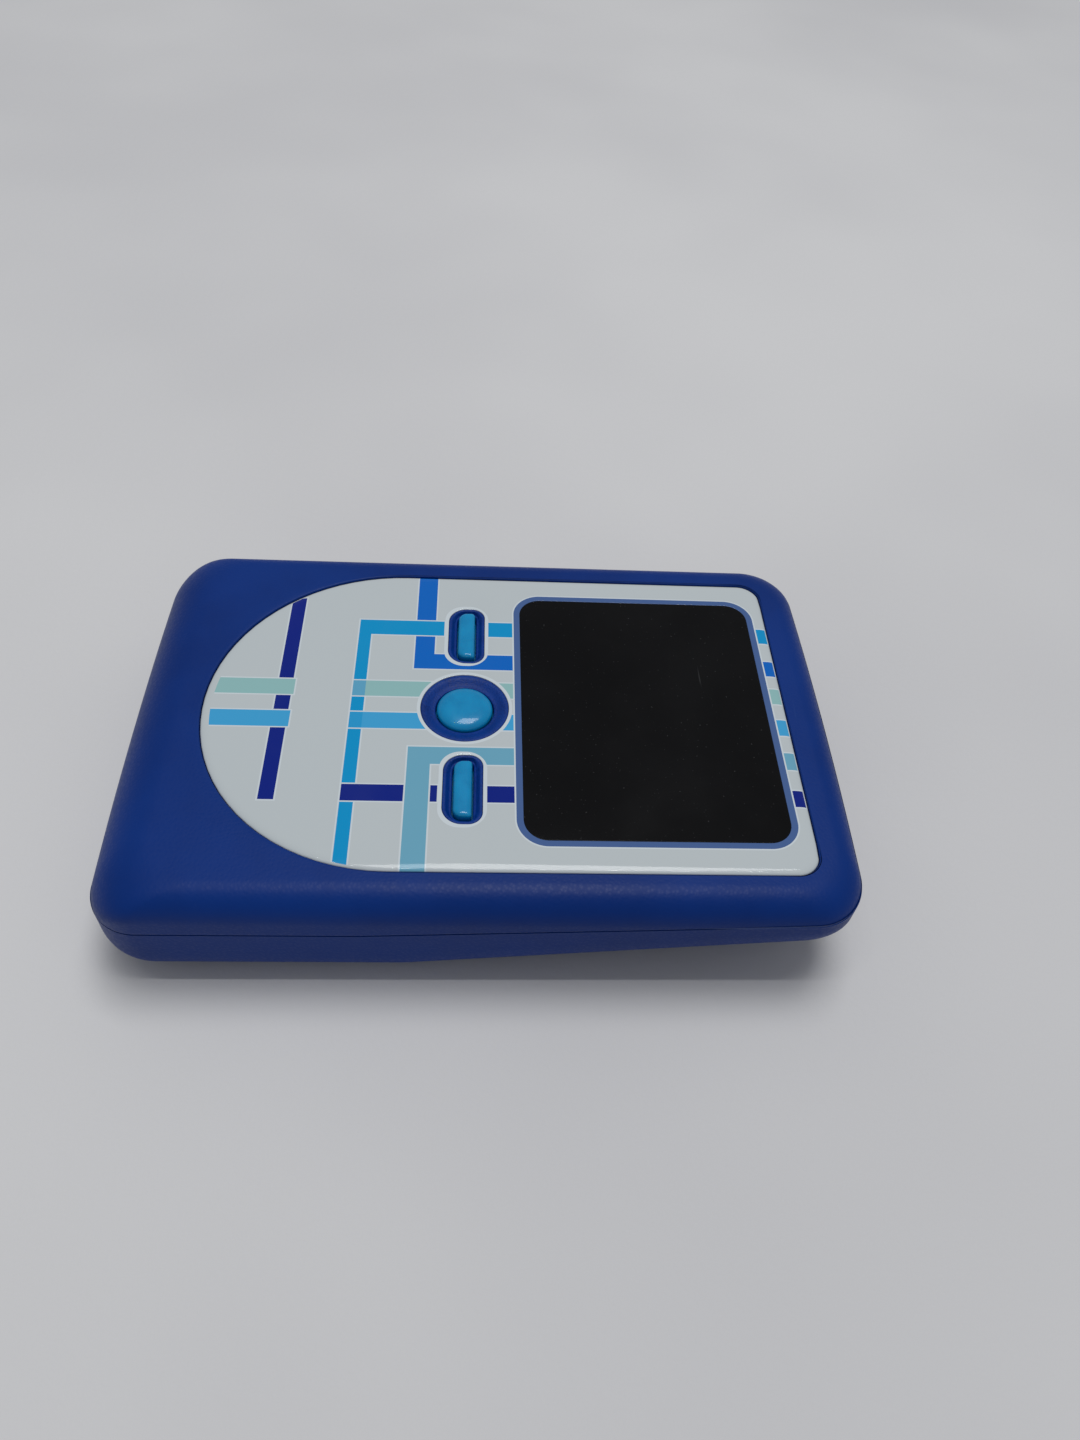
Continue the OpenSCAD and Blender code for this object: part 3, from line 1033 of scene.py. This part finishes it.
    def block(
        self, low: Sequence[float], high: Sequence[float], turn: float = 0.0
    ) -> bpy.types.Object:
        """A box used to cut another piece.

        Args:
            low: Lowest corner in millimetres.
            high: Highest corner in millimetres.
            turn: Turn about X in degrees, about the point where the slope starts.

        Returns:
            The box.
        """
        (x0, y0, z0), (x1, y1, z1) = low, high
        outline = np.array([[x0, y0], [x1, y0], [x1, y1], [x0, y1]])
        made = prism("cutter", outline, z0, z1)
        if turn:
            spin = Matrix.Rotation(np.radians(turn), 4, "X")
            made.data.transform(Matrix.Translation((0, self.ramp_y * MM, 0)) @ spin)
        return made

    def rod(
        self, r: float, at: Sequence[float], length: float, sideways: bool = False
    ) -> bpy.types.Object:
        """A cylinder used to cut another piece.

        Args:
            r: Radius in millimetres.
            at: Middle of its base, or its middle if it lies sideways.
            length: Length in millimetres.
            sideways: Whether it lies along X.

        Returns:
            The cylinder.
        """
        angle = np.linspace(0, 2 * np.pi, 64, endpoint=False)
        outline = r * np.column_stack([np.cos(angle), np.sin(angle)])
        start = -length / 2 if sideways else 0.0
        made = prism("cutter", outline, start, start + length)
        if sideways:
            made.data.transform(Matrix.Rotation(np.pi / 2, 4, "Y"))
        made.data.transform(Matrix.Translation(Vector(at) * MM))
        return made

    def carve(
        self, piece: bpy.types.Object, cutters: Sequence[bpy.types.Object], keep: bool = False
    ) -> None:
        """Cuts a piece with others and removes them.

        Args:
            piece: The piece to cut.
            cutters: What to cut it with.
            keep: Whether to keep the common part instead.
        """
        for cutter in cutters:
            cut = piece.modifiers.new("cut", "BOOLEAN")
            cut.operation = "INTERSECT" if keep else "DIFFERENCE"
            cut.solver = "EXACT"
            cut.object = cutter
        bpy.context.view_layer.update()
        ready = piece.evaluated_get(bpy.context.evaluated_depsgraph_get())
        mesh = bpy.data.meshes.new_from_object(ready)
        piece.modifiers.clear()
        piece.data = mesh
        mesh.name = piece.name
        for cutter in cutters:
            bpy.data.objects.remove(cutter)
        mesh.materials.clear()
        weld(mesh, 30)

    def underside(self, finish: bpy.types.Material) -> None:
        """Makes the back half with its openings, and the door that slides in it.

        Args:
            finish: The case's material.
        """
        x, y, z = self.door_x, self.door_y, self.door_z
        back, door = self.bowl("case_back"), self.bowl("cell_door")
        gap, past, under = 0.15, -60.0, -2.0
        screw_x, screw_y = self.screw
        label_x, label_low, label_high = self.label
        through, grip_l, grip_r = 12.0, 14.0, 0.4
        holes = [
            self.block((-x - gap, past, under), (x + gap, y + gap, z + gap)),
            self.rod(self.screw_r, (-screw_x, screw_y, 0), through),
            self.rod(self.screw_r, (screw_x, screw_y, 0), through),
            self.rod(self.camera_r, (0, self.camera_y, 0), through),
            self.block(
                (-label_x, label_low, under / 2),
                (label_x, label_high, self.label_depth),
                self.ramp_deg,
            ),
        ]
        self.carve(back, holes)
        self.carve(door, [self.block((-x, past, under), (x, y, z))], keep=True)
        grip = [self.grip_y + k * self.grip_step for k in range(-2, 3)]
        self.carve(door, [self.rod(grip_r, (0, at, 0), grip_l, True) for at in grip])
        self.place(back, finish, Body.CASE, ["back_shell"], "case_blue")
        self.place(door, finish, Body.DOOR, ["battery_door"], "case_blue")
        rail = Shell("door_flanges")
        low, high = self.flange_z
        for side in (-1, 1):
            edge = rounded(2.0, 34.6, 0.3, side * (x + 0.2), self.flange_mid, 64)
            web = rounded(0.8, 33.0, 0.2, side * (x - 0.4), self.flange_mid, 64)
            rail.grid(stack_flat(edge, [low, high]))
            rail.cap(edge, [], high)
            rail.cap(edge, [], low, up=False)
            rail.grid(stack_flat(web, [self.web_foot, low]))
        self.place(rail.build(30), finish, Body.DOOR, (), "case_blue")

    def build(self, panel: "FrontPanel") -> None:
        """Makes both halves and the battery door.

        Args:
            panel: The panel that lies in the recess.
        """
        finish = Casing().build()
        shell = Shell("case_front")
        shell.grid(self.front(panel), loop=True)
        self.place(shell.build(40), finish, Body.CASE, ["front_shell"], "case_blue")
        self.underside(finish)


@dataclass
class FrontPanel(Assembly):
    """The printed panel with the dark window, flush in the face."""

    half: float = 25.0
    tip_y: float = -11.06
    end_y: float = 40.7
    corner_r: float = 3.0
    end_r: float = 428.0
    low: float = 16.3
    top: float = 17.2
    edge_drop: float = 0.35
    edge_width: float = 1.2
    window: tuple[float, float, float, float] = (41.3, 32.7, 3.0, 21.25)
    rim: float = 0.85
    keyline: float = 0.2
    shift: float = -2.5

    def outline(self, count: int = 720) -> Array:
        """Straight sides, an arc at the key end and a bowed display end.

        Args:
            count: Number of points.

        Returns:
            The outline.
        """
        x, y = self.half - self.corner_r, self.end_y - self.corner_r - 0.5
        circles = [(0, self.tip_y, self.half), (x, y, self.corner_r), (-x, y, self.corner_r)]
        loop = belt(circles, count)
        bow = self.end_y - self.end_r + np.sqrt(self.end_r**2 - loop[:, 0] ** 2)
        loop[:, 1] = np.minimum(loop[:, 1], bow)
        return loop

    def matched(self, points: Array, grow: float) -> Array:
        """Points of the outline in the same directions from the middle as given points.

        Args:
            points: Points round the panel.
            grow: How far the outline is grown first.

        Returns:
            One point of the outline for each.
        """
        middle = np.array([0.0, 4.0])
        loop = grown(self.outline(2880), grow) - middle
        angle = np.arctan2(loop[:, 1], loop[:, 0])
        order = np.argsort(angle)
        aim = np.arctan2(points[:, 1] - middle[1], points[:, 0] - middle[0])
        reach = np.interp(aim, angle[order], np.hypot(*loop[order].T), period=2 * np.pi)
        return middle + reach[:, None] * np.column_stack([np.cos(aim), np.sin(aim)])

    def window_outline(self) -> Array:
        """Outline of the dark window."""
        w, l, r, y = self.window
        return rounded(w, l, r, 0.0, y, 320)

    def bands(self) -> list[Band]:
        """The printed stripes, in the order in which they are laid down.

        Returns:
            The stripes.
        """
        one, two, three = (-15.85, -13.05), (-9.5, -6.75), (-4.35, -1.67)
        four, five, six = (1.15, 3.82), (6.75, 9.47), (12.78, 15.27)
        rim = 6.9
        blocks = (40.95, 42.5)
        bar = (-14.75, -13.1)
        return [
            Band(Ink.NAVY, (-19.9, 15.25), (-24.5, -22.6)),
            Band(Ink.MID_BLUE, (-26.0, -6.75), (-6.95, -4.3)),
            Band(Ink.MID_BLUE, two, (-6.95, rim)),
            Band(Ink.CYAN, (-15.85, 26.0), bar),
            Band(Ink.CYAN, one, (-14.75, -3.1)),
            Band(Ink.CYAN, one, (2.97, rim)),
            Band(Ink.NAVY, six, (-14.75, -7.1)),
            Band(Ink.NAVY, six, (-3.98, -3.1)),
            Band(Ink.NAVY, six, (3.0, rim)),
            Band(Ink.TEAL, (6.75, 26.0), (-7.0, -4.15)),
            Band(Ink.TEAL, five, (-7.0, rim)),
            Band(Ink.SAGE, three, (-34.0, -22.3), margin=1.1),
            Band(Ink.SAGE, three, (-14.75, rim)),
            Band(Ink.CYAN, three, bar, veil=0.6),
            Band(Ink.SKY, four, (-34.6, -22.3), margin=1.1),
            Band(Ink.SKY, four, (-14.75, rim)),
            Band(Ink.CYAN, four, bar, veil=0.6),
            Band(Ink.CYAN, one, blocks),
            Band(Ink.MID_BLUE, two, blocks),
            Band(Ink.SAGE, three, blocks),
            Band(Ink.SKY, four, blocks),
            Band(Ink.TEAL, five, blocks),
            Band(Ink.NAVY, six, blocks),
        ]

    def rounded_box(self, g: Graph, x: Wire, y: Wire, half: tuple[float, float], r: float) -> Wire:
        """Distance outside a rounded rectangle about the origin of x and y.

        Args:
            g: The graph to add to.
            x: X from the middle.
            y: Y from the middle.
            half: Half width and half length.
            r: Corner radius.

        Returns:
            The distance, negative inside.
        """
        dx, dy = abs(x) - (half[0] - r), abs(y) - (half[1] - r)
        out_x, out_y = dx.most(0.0), dy.most(0.0)
        length = g.math("SQRT", out_x * out_x + out_y * out_y)
        return length + dx.most(dy).least(0.0) - r

    def print_finish(self, keys: "Keys") -> bpy.types.Material:
        """Inks behind a clear gloss: stripes with pale keylines, and a slate rim at the window.

        Args:
            keys: The keys, for the keylines round their wells.

        Returns:
            The finished material.
        """
        g = Graph("printed_panel")
        x, row_y, _ = g.axes()
        y = row_y - self.shift
        mottle = g.noise(120.0, 3.0)
        scuffs = g.noise(1.0, 2.0, 0.5, g.stretched(200.0, 4000.0, 50.0, 0.7)).ramp(0.68, 0.76)
        tone: Wire | Rgb = Ink.GROUND.value
        arc = g.math("SQRT", x * x + (row_y - self.tip_y) * (row_y - self.tip_y))
        side = row_y.above(self.tip_y)
        reach = abs(x) * side + arc * (1.0 - side)
        for (ink, veil, margin), group in groupby(
            self.bands(), lambda b: (b.ink, b.veil, b.margin)
        ):
            inner = reach.below(self.half - margin).most(y.above(-12.0))
            members = list(group)
            if veil == 1.0:
                pale = reduce(Wire.most, [band.mask(x, y, self.keyline) for band in members])
                tone = g.mix(pale * inner, tone, Ink.KEYLINE.value)
            fill = reduce(Wire.most, [band.mask(x, y, 0.0) for band in members])
            tone = g.mix(fill * inner * veil, tone, ink.value)
        for off, half, r, line in keys.keylines():
            near = self.rounded_box(g, x - off[0], row_y - off[1], half, r)
            tone = g.mix(near.below(line), tone, Ink.KEYLINE.value)
        w, l, r, mid = self.window
        half = (w / 2 + self.rim, l / 2 + self.rim)
        out = self.rounded_box(g, x, row_y - mid, half, r + self.rim)
        tone = g.mix(out.below(self.keyline), tone, Ink.KEYLINE.value)
        tone = g.mix(out.below(0.0), tone, Ink.RIM.value)
        worn = g.edge_wear(0.0002)
        tone = g.mix((mottle - 0.5).most(0.0) * 0.05 + worn * 0.1, tone, linear(170, 178, 184))
        return g.finish(
            {
                "Base Color": tone,
                "Roughness": 0.19 + (mottle - 0.5) * 0.06 + scuffs * 0.12,
                "Specular IOR Level": 0.1,
                "Coat Weight": 0.45,
                "Coat Roughness": 0.05,
                "Normal": g.bump(mottle, 0.000004, 0.1),
            }
        )

    def sheet(
        self, name: str, outer: Array, holes: Sequence[Array], width: float, drop: float
    ) -> Shell:
        """A flat sheet whose upper edges are quarter ellipses.

        Args:
            name: Name of the piece.
            outer: Outline.
            holes: Outlines of its holes.
            width: How far in the outer edge starts to fall.
            drop: How far it falls.

        Returns:
            The surface, not yet built.
        """
        shell = Shell(name)
        small = 0.06
        edge = quarter(0.0, self.top - drop, -width, self.top, 12)
        shell.grid(stack(outer, [(0.0, self.low), *edge]))
        for hole in holes:
            lip = quarter(0.0, self.top - small, -small, self.top, 3)
            shell.grid(stack(hole[::-1], [(0.0, self.low), *lip]))
        shell.cap(grown(outer, -width), [grown(h, small) for h in holes], self.top)
        shell.cap(outer, list(holes), self.low, up=False)
        return shell

    def build(self, keys: "Keys") -> None:
        """Makes the panel and the window.

        Args:
            keys: The keys, for the holes of their wells.
        """
        window = self.window_outline()
        holes = [window, *[well.outline for well in keys.wells()]]
        sheet = self.sheet("printed_panel", self.outline(), holes, self.edge_width, self.edge_drop)
        panel = sheet.build(50)
        self.place(panel, self.print_finish(keys), Body.CASE, ["front_panel"], "printed_panel")
        pane = self.sheet("window_pane", grown(window, -0.01), [], 0.06, 0.05).build(50)
        self.place(pane, GlassFinish().build(), Body.CASE, ["display_window"], "display_window")


@dataclass(frozen=True)
class Well:
    """One dished ring and the outline of its key."""

    body: Body
    node: str
    at: tuple[float, float]
    outline: Array
    cap: Array
    flat: float
    round_key: bool


@dataclass
class Keys(Assembly):
    """Three keys in dished wells."""

    row_y: float = -2.5
    pitch: float = 13.2
    well_r: float = 5.77
    cap_r: float = 3.65
    face: float = 17.2
    rise: float = 0.4
    foot: float = 15.26
    flange: float = 0.12
    dish: float = 0.55

    def slot(self, x: float, l: float, w: float, r_low: float, r_high: float) -> Array:
        """Outline of a long key or its well, rounder toward the key end.

        Args:
            x: Middle in X.
            l: Length along X.
            w: Width along Y.
            r_low: Radius of the two corners toward the key end.
            r_high: Radius of the other two.

        Returns:
            The outline.
        """
        a, b = l / 2, w / 2
        y = self.row_y
        return belt(
            [
                (x - a + r_low, y - b + r_low, r_low),
                (x + a - r_low, y - b + r_low, r_low),
                (x + a - r_high, y + b - r_high, r_high),
                (x - a + r_high, y + b - r_high, r_high),
            ],
            240,
        )

    def ring(self, r: float) -> Array:
        """A circle round the middle key."""
        t = np.linspace(0, 2 * np.pi, 240, endpoint=False)
        return np.column_stack([r * np.cos(t), self.row_y + r * np.sin(t)])

    def wells(self) -> list[Well]:
        """The three wells.

        Returns:
            The wells, with the outline of the key in each.
        """
        found = [
            Well(Body.CENTRE, "centre_button", (0.0, self.row_y), self.ring(self.well_r),
                 self.ring(self.cap_r), 0.45, True)
        ]
        for body, x in ((Body.LEFT, -self.pitch), (Body.RIGHT, self.pitch)):
            outline = self.slot(x, 10.55, 5.0, 2.49, 1.8)
            cap = self.slot(x, 8.5, 2.3, 1.14, 0.4)
            found.append(Well(body, body.value, (x, self.row_y), outline, cap, 0.35, False))
        return found

    def keylines(self) -> list[tuple[tuple[float, float], tuple[float, float], float, float]]:
        """Where pale lines run round the wells.

        Returns:
            Middle, half size, corner radius and line width of each.
        """
        found = [((0.0, self.row_y), (self.well_r, self.well_r), self.well_r - 0.001, 0.45)]
        for x in (-self.pitch, self.pitch):
            found.append(((x, self.row_y), (5.275, 2.5), 2.2, 0.5))
        return found

    def blend_rows(self, outer: Array, inner: Array, steps: int) -> Array:
        """Rows of a surface ruled between two outlines."""
        t = np.linspace(0, 1, steps)[:, None, None]
        return outer[None] * (1 - t) + inner[None] * t

    def dished(self, well: Well) -> Shell:
        """The well's ring: a rounded outer edge, a flat, a slope to the key and the hole's wall.

        The slope is ruled between the flat's inner outline and the hole, with height
        z = face - dish sin(pi t / 2) to the power 1.5.

        Args:
            well: The well.

        Returns:
            The surface, not yet built.
        """
        shell = Shell(f"{well.body.value}_well")
        hole = grown(well.cap, 0.16)
        count = len(hole)
        outer = well.outline
        rows = stack(outer, [(-0.03, 15.4), (-0.03, self.face - 0.16),
                             *quarter(-0.03, self.face - 0.16, -0.2, self.face - 0.02, 4),
                             (-well.flat, self.face - 0.04)])
        t = np.linspace(0, 1, 14)[:, None]
        flat = grown(outer, -well.flat)
        flat_xy = self.blend_rows(flat, grown(hole, 0.22), 14)
        drop = self.face - 0.04 - (self.dish - 0.04) * np.sin(np.pi * t / 2) ** 1.5
        slope = np.concatenate([flat_xy, np.broadcast_to(drop[..., None], (14, count, 1))], -1)
        low = self.face - self.dish
        wall = stack(hole, [(0.1, low - 0.02), (0.03, low - 0.08), (0.0, low - 0.2), (0.0, 15.4)])
        shell.grid(np.concatenate([rows, slope[1:], wall]), loop=True)
        return shell

    def key(self, well: Well) -> Shell:
        """One key: foot flange, upright side and a flat-topped dome.

        The dome is half a superellipse: its outline shrinks toward the middle as sqrt(sin a)
        while its height above the side grows as cos a, with a from 90 to 0 degrees.

        Args:
            well: The well it stands in.

        Returns:
            The surface, not yet built.
        """
        shell = Shell(f"{well.body.value}_cap")
        dome = 1.05 if well.round_key else 0.6
        side = self.face + self.rise - dome
        rim = well.cap
        rows = stack(rim, [(0.6, self.foot), (0.6, self.foot + self.flange),
                           (0.0, self.foot + self.flange), (0.0, 16.0), (0.0, side)])
        a = np.radians(np.linspace(90, 0, 30))[1:, None, None]
        spine = np.array([0.0 if well.round_key else 1.0, 0.0])
        middle = np.array(well.at)
        core = middle + (rim - middle) * spine * 0.8
        xy = core + (rim - core) * np.sqrt(np.sin(a))
        top = np.broadcast_to(side + dome * np.cos(a), xy[..., :1].shape)
        inward = np.concatenate([xy, top], -1)
        shell.grid(np.concatenate([rows, inward]))
        base = grown(well.cap, 0.6)
        shell.cap(base, [], self.foot, up=False)
        return shell

    def build(self) -> None:
        """Makes the wells and the keys."""
        navy, cyan = WellFinish().build(), KeyFinish().build()
        for well in self.wells():
            self.place(self.dished(well).build(40), navy, Body.CASE, (), "case_blue")
            self.place(self.key(well).build(50), cyan, well.body, [well.node], "key_blue")


@dataclass
class Internals(Assembly):
    """Everything inside, kept in its designed shape and given real finishes."""

    def finishes(self) -> dict[str, Plastic | Brushed]:
        """The finish of each hidden part.

        Returns:
            Finish by CAD node.
        """
        steel = Brushed("bright_steel", linear(190, 192, 196))
        nickel = Brushed("nickel_plate", linear(206, 200, 188), 0.24)
        rubber = Plastic("grey_silicone", linear(96, 100, 106), 0.7, 1500.0, 0.00003)
        board = Plastic("board_green", linear(22, 92, 54), 0.35, 1800.0, 0.00001)
        glass = Plastic("dark_glass", linear(24, 26, 32), 0.12, 500.0, 0.000002)
        foam = Plastic("black_foam", linear(24, 24, 26), 0.9, 2200.0, 0.00012)
        amber = Plastic("amber_flex", linear(196, 122, 40), 0.35, 900.0, 0.000005)
        ivory = Plastic("ivory_plastic", linear(214, 206, 184), 0.5)
        chip = Plastic("chip_black", linear(32, 33, 36), 0.55, 3500.0, 0.00002)
        tan = Plastic("ceramic_tan", linear(168, 132, 96), 0.5, 3000.0, 0.00001)
        tray = Plastic("tray_blue", linear(24, 56, 120), 0.5, 2200.0, 0.00002)
        wrap = Plastic("cell_wrap", linear(200, 104, 36), 0.3, 700.0, 0.000006)
        clear = Plastic("camera_glass", linear(16, 18, 26), 0.06, 300.0, 0.000001)
        blank = Plastic("blank_label", linear(196, 200, 204), 0.55, 1200.0, 0.00001)
        return {
            "keypad_mat": rubber, "snap_domes": steel, "main_board": board, "display_glass": glass,
            "display_backlight": ivory, "display_gasket": foam, "display_flex": amber,
            "flex_connector": ivory, "processor_chip": chip, "memory_chip": chip,
            "power_inductor": chip, "board_capacitors": tan, "battery_tray": tray,
            "battery_cells": wrap, "cell_buttons": nickel, "contact_springs": nickel,
            "spring_plates": nickel, "positive_contacts": nickel, "camera_body": chip,
            "camera_barrel": chip, "camera_lens": clear, "camera_seal": foam,
            "camera_window": clear, "case_screws": steel, "board_screws": steel,
            "back_label": blank,
        }

    def build(self, frame: dict) -> None:
        """Dresses each carried-over part.

        Args:
            frame: The loaded frame.
        """
        made: dict[str, bpy.types.Material] = {}
        for name, finish in self.finishes().items():
            if finish.name not in made:
                made[finish.name] = finish.build()
            node = frame["nodes"][name]
            for slot in node.material_slots:
                slot.material = made[finish.name]
            LOG.info("%s keeps its shape, finish %s", name, finish.name)


@dataclass
class Studio:
    """Floor, lights and camera."""

    camera_at: tuple[float, float, float] = (89.87, -1.59, 120.10)
    right: tuple[float, float, float] = (0.0274, 0.99765, 0.06274)
    down: tuple[float, float, float] = (0.76094, 0.01989, -0.64852)
    lens: float = 26.09
    floor_size: float = 3.0
    room: tuple[float, float, float, float] = (0.94, 0.96, 1.0, 1.0)
    room_strength: float = 0.3
    overhead_at: tuple[float, float, float] = (-0.2, 0.1, 1.15)
    overhead_size: float = 0.5
    overhead_power: float = 5.7
    lamp_count: int = 10
    lamp_x: float = 0.06
    lamp_first_y: float = -0.42
    lamp_step: float = 0.085
    lamp_size: float = 0.026
    lamp_power: float = 0.16

    def floor(self) -> None:
        """A plain pale sheet on which the object rests."""
        bpy.ops.mesh.primitive_grid_add(x_subdivisions=8, y_subdivisions=8, size=self.floor_size)
        floor = bpy.context.object
        floor.name = "floor"
        floor.location = (0.0, 0.0, -0.00002)
        g = Graph("pale_floor")
        cloud = g.noise(6.0, 3.0)
        weave = g.noise(500.0, 3.0)
        tone = g.mix(cloud.ramp(0.3, 0.7), linear(207, 207, 209), linear(217, 217, 218))
        values = {"Base Color": tone, "Roughness": 0.8, "Normal": g.bump(weave, 0.0003, 0.25)}
        floor.data.materials.append(g.finish(values))

    def light(self, name: str, at: Sequence[float], size: float, power: float) -> None:
        """Adds one square soft light that faces the object.

        Args:
            name: Its name.
            at: Where it is, in metres.
            size: Side of the square in metres.
            power: Power in watts.
        """
        data = bpy.data.lights.new(name, "AREA")
        data.size = size
        data.energy = power
        lamp = bpy.data.objects.new(name, data)
        bpy.context.scene.collection.objects.link(lamp)
        turn = (-Vector(at)).to_track_quat("-Z", "Y").to_matrix().to_4x4()
        lamp.matrix_world = Matrix.Translation(at) @ turn

    def lights(self) -> None:
        """A pale room, one broad light overhead and a row of small lamps."""
        world = bpy.data.worlds.new("soft_room")
        bpy.context.scene.world = world
        world.use_nodes = True
        glow = world.node_tree.nodes["Background"]
        glow.inputs["Color"].default_value = self.room
        glow.inputs["Strength"].default_value = self.room_strength
        self.light("overhead", self.overhead_at, self.overhead_size, self.overhead_power)
        for k in range(self.lamp_count):
            at = (self.lamp_x, self.lamp_first_y + self.lamp_step * k, self.overhead_at[2])
            self.light(f"lamp_{k}", at, self.lamp_size, self.lamp_power)

    def camera(self) -> None:
        """The camera, from its position and the directions of its right and down axes."""
        data = bpy.data.cameras.new("camera")
        data.sensor_fit = "VERTICAL"
        data.sensor_height = 36.0
        data.lens = self.lens
        data.clip_start = 0.005
        eye = bpy.data.objects.new("camera", data)
        bpy.context.scene.collection.objects.link(eye)
        x = Vector(self.right).normalized()
        y = (-Vector(self.down)).normalized()
        y = (y - x * x.dot(y)).normalized()
        z = x.cross(y)
        turn = Matrix((x, y, z)).transposed().to_4x4()
        eye.matrix_world = Matrix.Translation(Vector(self.camera_at) * MM) @ turn
        bpy.context.scene.camera = eye

    def build(self) -> None:
        """Makes the stage, with display colours that follow the light as it is."""
        bpy.context.scene.view_settings.view_transform = "Standard"
        self.floor()
        self.lights()
        self.camera()


def main() -> None:
    """Builds every sub-assembly in order."""
    logging.basicConfig(level=logging.INFO, format="%(name)s: %(message)s")
    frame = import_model()
    keys, panel = Keys(), FrontPanel()
    Case().build(panel)
    panel.build(keys)
    keys.build()
    Internals().build(frame)
    Studio().build()
    bpy.context.view_layer.update()


if __name__ == "__main__":
    main()
